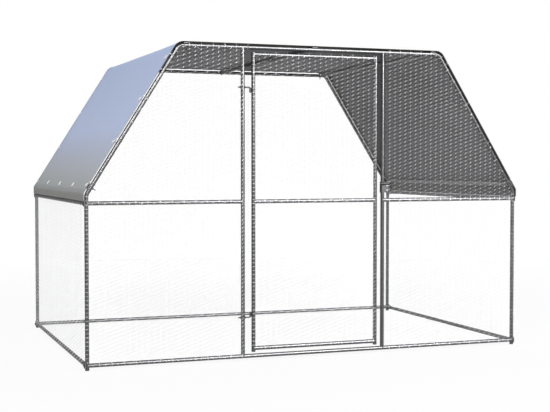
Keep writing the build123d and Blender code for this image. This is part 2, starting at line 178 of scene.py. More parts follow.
# %% Floor
floor_size = 60
floor_colour = (0.85, 0.85, 0.85, 1)
shadow_share = 0.10
shadow_near = 2.5
shadow_far = 7.0
bpy.ops.object.select_all(action="DESELECT")
bpy.ops.mesh.primitive_plane_add(size=floor_size)
floor = bpy.context.object
floor.name = "floor"
floor_material = bpy.data.materials.new("pale_floor")
floor_material.use_nodes = True
tree = floor_material.node_tree
tree.nodes.clear()
plain = new_node(tree, "ShaderNodeBsdfDiffuse", Color=floor_colour)
white = new_node(tree, "ShaderNodeEmission", Color=white_colour, Strength=1.0)
place = new_node(tree, "ShaderNodeTexCoord").outputs["Object"]
distance = new_node(tree, "ShaderNodeVectorMath", operation="LENGTH", Vector=place).outputs["Value"]
white_share = new_node(
    tree, "ShaderNodeMapRange", Value=distance,
    From_Min=shadow_near, From_Max=shadow_far, To_Min=1 - shadow_share, To_Max=1.0,
)
share = math_node(tree, "MULTIPLY", show_white(tree), white_share.outputs[0])
mix_shaders(tree, share, plain, white, "ShaderNodeOutputMaterial")
give_finish(floor, floor_material)
print("floor of", floor_size, "m, its shadow fades from", shadow_near, "to", shadow_far, "m")

# %% [markdown]
# A tube shows a lamp as one bright line along it, and where that line falls depends on the lamp's place.
# The key stands in front, to the left and high. It is far out, so it lights the sheet's left slope as
# well at the back as at the front. Two long strips on the right draw lines along the front tubes, the low
# one on the posts and the high one on the rails. They are there for these lines alone, so they leave matt
# surfaces unlit. The top lamp and the back lamp light the rest of the sheet.

# %% Lamps
def add_lamp(name, place, target, size, power):
    """A soft lamp of a width and a height that points at a target."""
    way = Vector(target) - Vector(place)
    bpy.ops.object.light_add(type="AREA", location=place, rotation=way.to_track_quat("-Z", "Y").to_euler())
    lamp = bpy.context.object
    lamp.name = name
    lamp.data.shape = "RECTANGLE"
    lamp.data.size, lamp.data.size_y = size
    lamp.data.energy = power
    return lamp


coop_middle = (0, 0, 1.0)
add_lamp("key_lamp", (-10.8, -18.5, 12.3), coop_middle, (4.5, 4.5), 4400)
for strip_name, place, power in (
    ("post_strip", (6.6, -17.0, 4.2), 3000),
    ("rail_strip", (6.6, -15.0, 9.0), 2600),
):
    strip = add_lamp(strip_name, place, coop_middle, (10.0, 2.2), power)
    strip.visible_diffuse = False
add_lamp("top_lamp", (2.7, -4.6, 5.6), coop_middle, (1.8, 5.0), 180)
add_lamp("back_lamp", (2.0, 5.0, 7.0), coop_middle, (2.0, 2.0), 110)

# %% [markdown]
# ## Shared effects
# Hot-dip zinc freezes in flat crystals, the spangle, each a little lighter or darker than the next. A
# Voronoi pattern gives every crystal its own grey. Handling leaves cloudy marks over it, which a noise
# pattern gives. Both are in one group, because tubes, wire and fasteners all need them.

# %% Group: zinc spangle
def new_group(name, inputs, outputs):
    """An empty shader group with number inputs, given with their defaults, and outputs of a kind each."""
    group = bpy.data.node_groups.new(name, "ShaderNodeTree")
    for label, value in inputs.items():
        socket = group.interface.new_socket(label, in_out="INPUT", socket_type="NodeSocketFloat")
        socket.default_value = value
    for label, kind in outputs.items():
        group.interface.new_socket(label, in_out="OUTPUT", socket_type=kind)
    return group, group.nodes.new("NodeGroupInput"), group.nodes.new("NodeGroupOutput")


spangle, given, result = new_group(
    "zinc_spangle",
    {"Crystals": 170.0, "Clouds": 9.0, "Contrast": 0.3},
    {"Tone": "NodeSocketFloat", "Height": "NodeSocketFloat"},
)
cloud_weight = 2.0
grain_weight = 0.5
place = new_node(spangle, "ShaderNodeTexCoord").outputs["Object"]
crystals = new_node(
    spangle, "ShaderNodeTexVoronoi", feature="F1", Vector=place, Scale=given.outputs["Crystals"]
)
clouds = new_node(
    spangle, "ShaderNodeTexNoise", Vector=place, Scale=given.outputs["Clouds"], Detail=5.0, Roughness=0.6
)
grain = new_node(spangle, "ShaderNodeTexNoise", Vector=place, Scale=900.0, Detail=2.0)
crystal_grey = new_node(spangle, "ShaderNodeSeparateColor", Color=crystals.outputs["Color"])
cloud_part = math_node(spangle, "MULTIPLY", clouds.outputs[0], cloud_weight)
mixed = math_node(spangle, "ADD", crystal_grey.outputs[0], cloud_part)
centred = math_node(spangle, "SUBTRACT", mixed, 0.5 + cloud_weight / 2)
spread = math_node(spangle, "MULTIPLY", centred, given.outputs["Contrast"])
spangle.links.new(math_node(spangle, "ADD", spread, 0.5), result.inputs["Tone"])
grain_part = math_node(spangle, "MULTIPLY", grain.outputs[0], grain_weight)
height = math_node(spangle, "ADD", crystals.outputs["Distance"], grain_part)
spangle.links.new(height, result.inputs["Height"])
print("group", spangle.name, [item.name for item in spangle.interface.items_tree])

# %% [markdown]
# The roof sheet is woven from flat plastic tape and coated on both sides. From close by, the tapes show
# as a fine basket pattern. Two sets of bands, one along the roof and one across it, give it. They follow
# the sheet's own UV map, which is laid out in metres, so the weave turns with the folds.

# %% Group: tape weave
weave, given, result = new_group(
    "tape_weave",
    {"Tapes per metre": 260.0, "Creases": 2.2},
    {"Height": "NodeSocketFloat", "Tone": "NodeSocketFloat"},
)
place = new_node(weave, "ShaderNodeTexCoord").outputs["UV"]
axes = new_node(weave, "ShaderNodeSeparateXYZ", Vector=place)
bands = []
for axis in ("X", "Y"):
    turns = math_node(weave, "MULTIPLY", axes.outputs[axis], given.outputs["Tapes per metre"])
    bands.append(math_node(weave, "SINE", math_node(weave, "MULTIPLY", turns, pi), 0.0))
basket = math_node(weave, "MULTIPLY", bands[0], bands[1])
creases = new_node(
    weave, "ShaderNodeTexNoise", Vector=place, Scale=given.outputs["Creases"],
    Detail=4.0, Roughness=0.55, Distortion=0.6,
)
weave.links.new(basket, result.inputs["Height"])
weave.links.new(creases.outputs[0], result.inputs["Tone"])
print("group", weave.name, [item.name for item in weave.interface.items_tree])

# %% [markdown]
# ## Finishes
# Each finish is one Principled shader. What is the same all over is set on its own sockets, and what
# changes over the surface comes from the groups above: colour and roughness through a ramp between two
# values, and a fine bump.

# %% Parts of a finish
def grey(value):
    """A neutral colour."""
    return (value, value, value, 1)


def new_finish(name, **sockets):
    """A material with one Principled shader, and the sockets that are the same all over."""
    material = bpy.data.materials.new(name)
    material.use_nodes = True
    shader = material.node_tree.nodes["Principled BSDF"]
    for socket, value in sockets.items():
        shader.inputs[socket.replace("_", " ")].default_value = value
    return material, material.node_tree, shader


def ramp(tree, value, low, high, socket):
    """Feed a socket from one number or colour to another as a value goes from 0 to 1."""
    is_colour = isinstance(low, tuple)
    mix = new_node(tree, "ShaderNodeMix", data_type="RGBA" if is_colour else "FLOAT")
    ends = [s for s in mix.inputs if s.enabled and s.name in ("A", "B")]
    ends[0].default_value = low
    ends[1].default_value = high
    factor = next(s for s in mix.inputs if s.enabled and s.name == "Factor")
    tree.links.new(value, factor)
    tree.links.new(next(s for s in mix.outputs if s.enabled), socket)


def add_bump(tree, height, shader, strength, distance):
    """Feed a height into the shader's normal."""
    bump = new_node(tree, "ShaderNodeBump", Strength=strength, Distance=distance, Height=height)
    tree.links.new(bump.outputs[0], shader.inputs["Normal"])


def zinc_finish(name, dark, light, roughness, crystals, contrast, rim, metal=0.92):
    """Zinc on steel: spangled greys, with rougher and smoother crystals. rim is its shine seen aslant."""
    material, tree, shader = new_finish(name, Metallic=metal, Specular_Tint=grey(rim))
    group = new_node(tree, "ShaderNodeGroup", node_tree=spangle, Crystals=crystals, Contrast=contrast)
    ramp(tree, group.outputs["Tone"], dark, light, shader.inputs["Base Color"])
    ramp(tree, group.outputs["Tone"], *roughness, shader.inputs["Roughness"])
    add_bump(tree, group.outputs["Height"], shader, strength=0.08, distance=0.001)
    return material


# %% Metal finishes
# Numbers: darkest and lightest crystal, their roughness, crystals per metre, contrast, rim.
# The legs' and posts' zinc is much darker than zinc is: painted shade, which stands for dark surroundings
# in its reflection.
shaded_tube_zinc = zinc_finish(
    "galvanised_tube", (0.055, 0.055, 0.057, 1), (0.12, 0.12, 0.123, 1), (0.31, 0.23), 170, 0.35, 0.03
)
# The rails are a lighter copy of the same zinc: painted light from above.
lit_rail_zinc = zinc_finish(
    "galvanised_rail_painted_light", (0.07, 0.07, 0.072, 1), (0.125, 0.125, 0.128, 1), (0.32, 0.24), 170, 0.35, 0.03
)
# The side rails are a lighter copy again: painted light against the shade under the flap.
lit_side_zinc = zinc_finish(
    "galvanised_side_rail_painted_light", (0.14, 0.14, 0.143, 1), (0.22, 0.22, 0.224, 1), (0.62, 0.54), 170, 0.35, 0.1
)
# The purlins are a lighter copy again: painted light against the shade under the sheet.
lit_purlin_zinc = zinc_finish(
    "galvanised_purlin_painted_light", (0.175, 0.175, 0.178, 1), (0.25, 0.25, 0.254, 1), (0.66, 0.58), 170, 0.35, 0.15
)
fitting_zinc = zinc_finish(
    "zinc_plated_dull", (0.036, 0.036, 0.038, 1), (0.068, 0.068, 0.070, 1), (0.50, 0.40), 420, 0.25, 0.06
)
bolt_zinc = zinc_finish(
    "zinc_plated", (0.24, 0.243, 0.246, 1), (0.40, 0.403, 0.406, 1), (0.38, 0.28), 420, 0.25, 0.3
)
wire_zinc = zinc_finish(
    "galvanised_wire", (0.70, 0.705, 0.71, 1), (0.88, 0.88, 0.885, 1), (0.42, 0.3), 240, 0.3, 1.0, metal=0.7
)
print("metal", [m.name for m in bpy.data.materials if m.name.startswith(("galvanised", "zinc"))])

# %% [markdown]
# The sheet is silver-grey outside and plain grey inside. Its outer colour follows the height through a
# few stops: the cool blue grey towards the top of the roof is a painted reflection of the sky, and the
# grey lower down, darkest on the flap below the fold, is painted shade. Soft marks shift it a little. The
# inside is painted darker towards the top, as painted shade. Along the edge a dark olive strip under the
# sheet is painted shade in the gap between the sheet and the gable tube.

# %% Sheet finishes
def height_ramp(tree, height, stops, socket):
    """Feed a socket with a colour that goes through stops of (height, colour)."""
    low, high = stops[0][0], stops[-1][0]
    ramp_node = new_node(tree, "ShaderNodeValToRGB")
    elements = ramp_node.color_ramp.elements
    while len(elements) < len(stops):
        elements.new(0.5)
    for element, (z, colour) in zip(elements, stops):
        element.position = (z - low) / (high - low)
        element.color = (*colour, 1)
    share = new_node(tree, "ShaderNodeMapRange", Value=height, From_Min=low, From_Max=high)
    tree.links.new(share.outputs[0], ramp_node.inputs[0])
    tree.links.new(ramp_node.outputs[0], socket)


def sheet_finish(name, stops, mark, roughness, gloss):
    """Coated woven sheet. Its colour follows its height, which soft marks shift by up to half of mark."""
    material, tree, shader = new_finish(name, Metallic=0.0, Specular_IOR_Level=gloss)
    group = new_node(tree, "ShaderNodeGroup", node_tree=weave)
    place = new_node(tree, "ShaderNodeTexCoord").outputs["Object"]
    axes = new_node(tree, "ShaderNodeSeparateXYZ", Vector=place)
    centred = math_node(tree, "SUBTRACT", group.outputs["Tone"], 0.5)
    shift = math_node(tree, "MULTIPLY", centred, mark)
    height_ramp(tree, math_node(tree, "ADD", axes.outputs["Z"], shift), stops, shader.inputs["Base Color"])
    ramp(tree, group.outputs["Tone"], *roughness, shader.inputs["Roughness"])
    add_bump(tree, group.outputs["Height"], shader, strength=0.25, distance=0.0002)
    return material


# Blue grey towards the top is a painted reflection of the sky; grey lower down and darkest on the flap
# below the fold is painted shade.
sheet_outside = sheet_finish(
    "cover_outside",
    (
        (eave_z - 0.010, (0.218, 0.222, 0.211)),
        (eave_z + 0.004, (0.236, 0.241, 0.234)),
        (eave_z + 0.012, (0.281, 0.291, 0.289)),
        (eave_z + 0.028, (0.284, 0.296, 0.297)),
        (eave_z + 0.038, (0.336, 0.353, 0.353)),
        (eave_z + 0.150, (0.393, 0.409, 0.446)),
        (eave_z + 0.420, (0.446, 0.512, 0.695)),
        (top_z, (0.424, 0.500, 0.690)),
    ),
    mark=0.02,
    roughness=(0.55, 0.42),
    gloss=0.01,
)
# The inside is darker towards the top: painted shade.
sheet_inside = sheet_finish(
    "cover_inside",
    ((eave_z, (0.098, 0.098, 0.100)), (top_z, (0.082, 0.082, 0.085))),
    mark=0.6,
    roughness=(0.7, 0.55),
    gloss=0.2,
)
# Dark olive on the sheet's rims and on the strip under its edge, darkest near the top: painted shade of the
# gap between the sheet and the tubes.
olive_edge_shade = sheet_finish(
    "cover_edge_painted_shade",
    (
        (eave_z, (0.070, 0.068, 0.060)),
        (top_z - 0.05, (0.050, 0.049, 0.040)),
        (top_z + 0.015, (0.018, 0.022, 0.007)),
    ),
    mark=0.02,
    roughness=(0.75, 0.6),
    gloss=0.1,
)


def nylon_finish(name, dark, light):
    """Nylon with faint marks."""
    material, tree, shader = new_finish(name, Roughness=0.42, Subsurface_Weight=0.08, IOR=1.53)
    place = new_node(tree, "ShaderNodeTexCoord").outputs["Object"]
    marks = new_node(tree, "ShaderNodeTexNoise", Vector=place, Scale=320.0, Detail=3.0)
    ramp(tree, marks.outputs[0], grey(dark), grey(light), shader.inputs["Base Color"])
    add_bump(tree, marks.outputs[0], shader, strength=0.1, distance=0.0003)
    return material


tie_nylon = nylon_finish("white_nylon", 0.84, 0.94)
# Dark nylon for the part of a tie under the sheet: painted shade.
painted_shade_nylon = nylon_finish("painted_shade_nylon", 0.10, 0.16)
print("sheet", [m.name for m in (sheet_outside, sheet_inside, olive_edge_shade, tie_nylon, painted_shade_nylon)])

# %% [markdown]
# The tubes and the latch keep the shape that the frame gives them, so they only need their finish. All
# tubes share one zinc in lit and shaded copies: the legs and the posts get the darkest and smoothest,
# which is painted shade, the rails a lighter one, which is painted light from above, and the purlins and
# the rails of the sides lighter ones that are the dullest, which is painted light against the shade under
# the sheet.

# %% Finish the frame's own pieces
fitting_nodes = ("hinge_sleeves", "hinge_pintles", "latch_clamp", "latch_bolt", "latch_knob")
side_rails = ("left_mid_rail", "right_mid_rail", "left_bottom_rail", "right_bottom_rail")
for name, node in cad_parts.items():
    finish = shaded_tube_zinc
    if name in fitting_nodes:
        finish = fitting_zinc
    elif name.endswith("bolts"):
        finish = bolt_zinc
    elif name.endswith("purlin"):
        finish = lit_purlin_zinc
    elif name in side_rails:
        finish = lit_side_zinc
    elif name.endswith("rail"):
        finish = lit_rail_zinc
    give_finish(node, finish)
print("finished", len(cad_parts), "nodes")

# %% [markdown]
# ## The netting
# Hexagonal netting is made of wires that run side by side along the roll. Each wire is twisted with its
# upper neighbour, crosses to its lower neighbour, is twisted with that one, and so on. Here the roll lies
# along the coop, so the twists are nearly level. A mesh of modelled cells would have to be trimmed along
# each slope, so every wire is drawn whole instead, as one line from tube to tube, and the lines get a thin
# three-sided section, which is enough for a wire of about a millimetre. A twist is thick with zinc and
# catches the light, and between the twists the wire is drawn thin, so each point has its own radius.

# %% Wires of a net
net_row = 0.025
net_column = 0.038
twist_length = 0.0095
wire_radius = 0.0005
net_gap = 0.0012
net_offset = tube_radius + net_gap
twist_rise = 0.0115
twist_radius = 2.0
cross_radius = 0.4
twist_steps = 4


def lane_points(lane, first, last):
    """Points (along, up, out, radius) of one wire over a range of columns. Lanes are half a row apart."""
    points = []
    for column in range(first, last + 1):
        side = 1 if (lane + column) % 2 == 0 else -1
        for step in range(twist_steps + 1):
            angle = 2 * pi * step / twist_steps - side * pi / 2
            share = step / twist_steps - 0.5
            points.append(
                Vector((
                    column * net_column + twist_length * share,
                    lane * net_row / 2 + side * net_row / 4 + twist_rise * share + wire_radius * sin(angle),
                    wire_radius * cos(angle),
                    cross_radius if step in (0, twist_steps) else twist_radius,
                ))
            )
    return points


def cut_to(points, low, high):
    """The stretch of a wire between two places along it, with its ends on them."""
    kept = []
    for here, ahead in zip(points, points[1:]):
        for edge in (low, high):
            if (here.x - edge) * (ahead.x - edge) < 0:
                share = (edge - here.x) / (ahead.x - here.x)
                kept.append(here.lerp(ahead, share))
        if low <= ahead.x <= high:
            kept.append(ahead)
    return sorted(kept, key=lambda point: point.x)


print("net of", net_column * 2000, "by", net_row * 1000, "mm cells, wire", wire_radius * 2000, "mm")

# %% [markdown]
# At a post every second wire goes once round it and ends there. On a slope most wires are only hooked
# behind the tube. On the rails above and below, short loops hold the first and the last wire at every
# second column. The outline of a net is given as the range of places along a wire at a height, so one
# function draws every panel, with straight or sloping sides.

# %% Ends of a wire
wrap_turns = 1.1
wrap_steps = 9
wrap_pitch = 0.0004
loop_lead = 0.02


def wrap_points(start, along_tube, way):
    """One turn of wire round a tube, from a point in front of it. way is the side that it first goes to."""
    start = start.to_3d()
    across = Vector((along_tube.y, -along_tube.x, 0))
    if across.x * way < 0:
        across = -across
    turn = []
    for step in range(1, wrap_steps + 1):
        angle = 2 * pi * step / wrap_steps * wrap_turns
        round_tube = across * sin(angle) * net_offset + Vector((0, 0, 1)) * (cos(angle) - 1) * net_offset
        turn.append(start + round_tube + along_tube * wrap_pitch * step)
    return turn


def hook_points(start, way):
    """The end of a wire that stops beside a tube and is hooked behind it."""
    start = start.to_3d()
    return [start + Vector((0, 0, -net_offset)), start + Vector((way * net_offset, 0, -2 * net_offset))]


def rail_loop(along, height):
    """A wire that comes down the net to a rail and goes once round it."""
    start = Vector((along, height, 0))
    return [start + Vector((0, loop_lead, 0)), start] + wrap_points(start, Vector((1, 0, 0)), 1)


print("a wire goes", wrap_turns, "times round a tube")

# %% Wires with a section
wrap_radius = 0.75
# A triangle looks thinner than a round wire, so it is drawn a fifth wider.
section_radius = wire_radius * 1.2


def new_curve(name):
    """An empty curve of straight runs with the section of a wire."""
    curve = bpy.data.curves.new(name, "CURVE")
    curve.dimensions = "3D"
    curve.twist_mode = "Z_UP"
    curve.bevel_mode = "OBJECT"
    curve.bevel_object = wire_section
    curve.use_fill_caps = True
    return curve


def add_wire(curve, points):
    """One wire of a curve."""
    spline = curve.splines.new("POLY")
    spline.points.add(len(points) - 1)
    spline.points.foreach_set("co", [value for point in points for value in (*point.xyz, 1)])
    spline.points.foreach_set("radius", [point.w if len(point) == 4 else wrap_radius for point in points])


def draw_section():
    """The three-sided section that all wires share."""
    bpy.ops.object.select_all(action="DESELECT")
    bpy.ops.curve.primitive_bezier_circle_add(radius=wire_radius)
    section = bpy.context.object
    section.name = "wire_section"
    section.data.splines.clear()
    spline = section.data.splines.new("POLY")
    spline.points.add(2)
    for corner, point in enumerate(spline.points):
        angle = 2 * pi * corner / 3
        point.co = (section_radius * cos(angle), section_radius * sin(angle), 0, 1)
    spline.use_cyclic_u = True
    return section


wire_section = draw_section()
print("wire with", len(wire_section.data.splines[0].points), "sides")

# %% Draw a net
UP = Vector((0, 1, 0))
slope_wrap = 6
hook_clear = 1.1


def finish_net(curve, to_part, body, node):
    """Turn a drawn net into a mesh in the part's place, with its finish, and let it stand for a node."""
    net = bpy.data.objects.new(curve.name, curve)
    bpy.context.collection.objects.link(net)
    bpy.ops.object.select_all(action="DESELECT")
    net.select_set(True)
    bpy.context.view_layer.objects.active = net
    bpy.ops.object.convert(target="MESH")
    net.data.transform(to_part)
    bpy.ops.object.shade_smooth()
    give_finish(net, wire_zinc)
    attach(net, body)
    if node is not None:
        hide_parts(node)
    print(net.name, len(net.data.polygons), "faces")


def draw_net(name, to_part, low, high, reach, body, node, left_tube=None, right_tube=None, rails=()):
    """A net between two heights. reach gives its ends at a height, the tubes the way of the tubes there."""
    curve = new_curve(name)
    first_lane = int(low / net_row * 2) + 1
    last_lane = int(high / net_row * 2)
    for lane in range(first_lane, last_lane + 1):
        height = lane * net_row / 2
        ends = list(reach(height))
        tubes = [tube(height) if tube is not None else None for tube in (left_tube, right_tube)]
        hooked = [tube not in (None, UP) and lane % slope_wrap != 0 for tube in tubes]
        for index, way in enumerate((-1, 1)):
            if hooked[index]:
                ends[index] -= way * net_offset * hook_clear / sin(slope_angle)
        first = int(ends[0] / net_column) - 2
        last = int(ends[1] / net_column) + 2
        points = cut_to(lane_points(lane, first, last), *ends)
        if len(points) < 2:
            continue
        tails = []
        for point, tube, hook, way in zip((points[0], points[-1]), tubes, hooked, (-1, 1)):
            if hook:
                tails.append(hook_points(point, way))
            elif tube is not None and lane % 2 == 0:
                tails.append(wrap_points(point, tube, way))
            else:
                tails.append([])
        add_wire(curve, tails[0][::-1] + points + tails[1])
    for height in rails:
        left, right = reach(height)
        for column in range(int(left / net_column) + 1, int(right / net_column) + 1, 2):
            add_wire(curve, rail_loop(column * net_column, height))
    finish_net(curve, to_part, body, node)


# %% Nets of the gables
slope_way = {side: Vector((-side * cos(slope_angle), sin(slope_angle), 0)) for side in (-1, 1)}
front_place = Matrix(((1, 0, 0, 0), (0, 0, -1, front_y - net_offset), (0, 1, 0, 0), (0, 0, 0, 1)))
back_place = Matrix(((1, 0, 0, 0), (0, 0, 1, back_y + net_offset), (0, 1, 0, 0), (0, 0, 0, 1)))


def gable_edge(height):
    """How far a gable's tube is from the middle at a height."""
    share = max(0.0, (height - eave_z) / (top_z - eave_z))
    return half_width + (half_top - half_width) * share


def gable_tube(side):
    """The way of the tube on one side of a gable at a height."""
    return lambda height: UP if height < eave_z else slope_way[side]


def post_tube(height):
    """The way of an upright tube."""
    return UP


draw_net(
    "front_left_netting", front_place, bottom_z, top_z, lambda z: (-gable_edge(z), -post_x),
    "frame", "front_left_net", gable_tube(-1), post_tube, (bottom_z, mid_z, top_z),
)
draw_net(
    "front_right_netting", front_place, bottom_z, top_z, lambda z: (post_x + tube_radius, gable_edge(z)),
    "frame", "front_right_net", None, gable_tube(1), (bottom_z, mid_z, top_z),
)
draw_net(
    "back_lower_netting", back_place, bottom_z, eave_z, lambda z: (-gable_edge(z), gable_edge(z)),
    "frame", "back_net", gable_tube(-1), gable_tube(1), (bottom_z,),
)
draw_net(
    "back_upper_netting", back_place, eave_z, top_z, lambda z: (-gable_edge(z), gable_edge(z)),
    "frame", None, gable_tube(-1), gable_tube(1), (top_z,),
)
draw_net(
    "door_netting", front_place, door_low_z, door_high_z, lambda z: (hinge_stile_x, latch_stile_x),
    "door", "door_net", post_tube, post_tube, (door_low_z, mid_z, door_high_z),
)

# %% Nets of the sides
side_net_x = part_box("right_net")[1].x
for name, side in (("left", -1), ("right", 1)):
    net_low, net_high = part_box(f"{name}_net")
    side_place = Matrix(((0, 0, side, side * side_net_x), (1, 0, 0, 0), (0, 1, 0, 0), (0, 0, 0, 1)))
    draw_net(
        f"{name}_netting", side_place, bottom_z, mid_z, lambda z: (net_low.y, net_high.y),
        "frame", f"{name}_net",
    )
# The nets are meshes now, so the section that their curves shared isn't needed any more.
bpy.data.objects.remove(wire_section)

# %% [markdown]
# ## The roof sheet
# One sheet goes over both slopes and the flat top, folds down over each eave and ends in a short flap.
# It is laced tight along the gables, lies on the purlins and sags a little between them. A cloth
# simulation would mostly find that same shape, so it is drawn directly: a fine grid is laid along the
# roof's line, which is straight runs and arcs, and every point is then let down by what the nearest
# support allows.

# %% The roof's line
cover_half_thickness = 0.00075
top_bend = 0.045
eave_fold = 0.025
cover_low, cover_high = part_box("roof_cover")
cover_rise = cover_high.z - cover_half_thickness - top_z
flap_x = cover_high.x - cover_half_thickness
hem_z = cover_low.z
top_turn = slope_angle
eave_turn = pi / 2 - slope_angle
top_radius = top_bend + cover_rise
fold_radius = eave_fold + cover_half_thickness
corner_x = half_top + cover_rise * tan(top_turn / 2)
bend_z = top_z + cover_rise - (flap_x - corner_x) * tan(slope_angle)
top_tangent = top_radius * tan(top_turn / 2)
fold_tangent = fold_radius * tan(eave_turn / 2)
runs = (
    ("top", corner_x - top_tangent, 0.0),
    ("top_bend", top_radius * top_turn, top_radius),
    ("slope", hypot(flap_x - corner_x, top_z + cover_rise - bend_z) - top_tangent - fold_tangent, 0.0),
    ("eave_fold", fold_radius * eave_turn, fold_radius),
    ("flap", bend_z - fold_tangent - hem_z, 0.0),
)
half_length = sum(length for _, length, _ in runs)
run_start = {name: sum(length for _, length, _ in runs[:index]) for index, (name, _, _) in enumerate(runs)}


def roof_line(distance):
    """Place on the roof's line and the way out of it, at a distance from the ridge, left if negative."""
    side = -1 if distance < 0 else 1
    left = abs(distance)
    spot = Vector((0, 0, top_z + cover_rise))
    angle = 0.0
    for _, length, radius in runs:
        step = min(left, length)
        left -= step
        if radius == 0:
            spot = spot + Vector((cos(angle), 0, -sin(angle))) * step
        else:
            centre = spot - Vector((sin(angle), 0, cos(angle))) * radius
            angle += step / radius
            spot = centre + Vector((sin(angle), 0, cos(angle))) * radius
    return Vector((side * spot.x, 0, spot.z)), Vector((side * sin(angle), 0, cos(angle)))


print("half of the sheet is", round(half_length, 3), "m")
print({name: round(length, 3) for name, length, _ in runs})

# %% [markdown]
# The sag is largest in the middle of each bay. On the slopes a bay reaches from the eave purlin to the
# top purlin, on the top from a top purlin to the ridge. Close to the gables the sheet is held up by the
# bolt heads, and it settles on to the tubes a hand's width further in. A few long, shallow waves stand
# for the folds that a sheet keeps from its package.

# %% The sheet's sag
settle_depth = 0.0028
settle_length = 0.09
slope_sag = 0.011
top_sag = 0.007
flap_wave = 0.004
fold_height = 0.0011
purlin_before_fold = 0.045
top_purlin_x = node_middle("right_top_purlin").x
eave_support = run_start["eave_fold"] - purlin_before_fold


def sheet_drop(distance, depth, from_edge):
    """How far the sheet lies below the roof's line. depth goes from 0 at the front to 1 at the back."""
    reach = abs(distance)
    bay = sin(pi * depth)
    drop = settle_depth * (1 - exp(-from_edge / settle_length))
    if reach < top_purlin_x:
        drop += top_sag * bay * sin(pi * reach / top_purlin_x)
    elif reach < eave_support:
        drop += slope_sag * bay * sin(pi * (reach - top_purlin_x) / (eave_support - top_purlin_x)) ** 1.5
    elif reach > run_start["flap"]:
        share = (reach - run_start["flap"]) / (half_length - run_start["flap"])
        drop -= flap_wave * share * sin(5.2 * pi * depth + 0.6) * bay
    # Waves that cross each other aslant, so that no fold repeats.
    folds = sin(9.0 * distance + 3.1 * depth + 0.4) * sin(7.3 * depth - 2.6 * distance + 1.1)
    folds += 0.6 * sin(15.0 * distance - 11.0 * depth)
    return drop + fold_height * folds * bay


print("middle of the top lies", round(sheet_drop(top_purlin_x / 2, 0.5, 1.0), 4), "m below the roof's line")

# %% Points of the sheet
sheet_front_y = cover_low.y
sheet_back_y = cover_high.y
sheet_depth = sheet_back_y - sheet_front_y


def sheet_point(distance, y, lift=0.0):
    """Point of the sheet's middle, or a little above it."""
    spot, out = roof_line(distance)
    from_edge = max(0.0, min(y - sheet_front_y, sheet_back_y - y))
    depth = min(1.0, max(0.0, (y - sheet_front_y) / sheet_depth))
    return Vector((spot.x, y, spot.z)) + out * (lift - sheet_drop(distance, depth, from_edge))


print("middle of the sheet at", [round(value, 3) for value in sheet_point(0.0, 0.0)])

# %% Grids with a thickness
def lay_grid(name, spots_along, spots_across, place):
    """A grid of quads whose points are given by two parameters, with a UV map in metres."""
    bpy.ops.object.select_all(action="DESELECT")
    bpy.ops.mesh.primitive_grid_add(
        x_subdivisions=len(spots_along) - 1, y_subdivisions=len(spots_across) - 1, size=1
    )
    piece = bpy.context.object
    piece.name = name
    columns = len(spots_along)
    for index, vertex in enumerate(piece.data.vertices):
        vertex.co = place(spots_along[index % columns], spots_across[index // columns])
    for corner, uv in zip(piece.data.loops, piece.data.uv_layers.active.data):
        index = corner.vertex_index
        uv.uv = (spots_along[index % columns], spots_across[index // columns])
    return piece


def give_thickness(piece, thickness, inner_slot=0, rim_slot=0):
    """Make a grid a thin sheet, with its own material slots inside and on the rim."""
    solid = piece.modifiers.new("thickness", "SOLIDIFY")
    solid.thickness = thickness
    solid.offset = 0
    solid.material_offset = inner_slot
    solid.material_offset_rim = rim_slot
    bpy.context.view_layer.objects.active = piece
    bpy.ops.object.modifier_apply(modifier=solid.name)
    bpy.ops.object.shade_smooth_by_angle(angle=radians(50))


def even_steps(low, high, step):
    """Evenly spaced numbers from low to high, about a step apart."""
    count = max(1, round((high - low) / step))
    return [low + (high - low) * index / count for index in range(count + 1)]


# %% Make the sheet
sheet_step = 0.028
bend_step = 0.2
sheet_thickness = 0.0009
half_spots = []
for name, length, radius in runs:
    step = sheet_step if radius == 0 else radius * bend_step
    half_spots += even_steps(run_start[name], run_start[name] + length, step)[:-1]
half_spots.append(half_length)
sheet_spots = [-spot for spot in reversed(half_spots[1:])] + half_spots
sheet_rows = even_steps(sheet_front_y, sheet_back_y, sheet_step)
cover = lay_grid("roof_sheet", sheet_spots, sheet_rows, sheet_point)
give_finish(cover, sheet_outside, sheet_inside, olive_edge_shade)
give_thickness(cover, sheet_thickness, inner_slot=1, rim_slot=2)
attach(cover, "frame")
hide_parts("roof_cover")
print("sheet of", round(2 * half_length, 3), "x", round(sheet_depth, 3), "m flat")
print(cover.name, len(cover.data.polygons), "faces")

# %% [markdown]
# Along the front and the back the sheet is folded over to a hem about two fingers wide. Below it lies
# a dark olive strip, which is painted shade: it shows in the gap between the sheet and the gable tube.

# %% Hem and painted edge shade
strip_thickness = 0.0008
strip_lift = 0.0010
# Each strip has a name, its two sides' distances from the sheet's edge, its height and its finish.
edge_strips = (
    ("sheet_hem", 0.0, 0.040, strip_lift, sheet_outside),
    ("painted_edge_shade", 0.012, 0.065, -strip_lift, olive_edge_shade),
)
strip_shares = (0, 0.25, 0.5, 0.75, 1)
for name, edge_y, inward in (("front", sheet_front_y, 1), ("back", sheet_back_y, -1)):
    for kind, near, far, lift, finish in edge_strips:
        strip = lay_grid(
            f"{name}_{kind}",
            sheet_spots,
            sorted(edge_y + inward * (near + (far - near) * share) for share in strip_shares),
            lambda spot, y: sheet_point(spot, y, lift),
        )
        give_finish(strip, finish, olive_edge_shade)
        give_thickness(strip, strip_thickness, rim_slot=1)
        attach(strip, "frame")

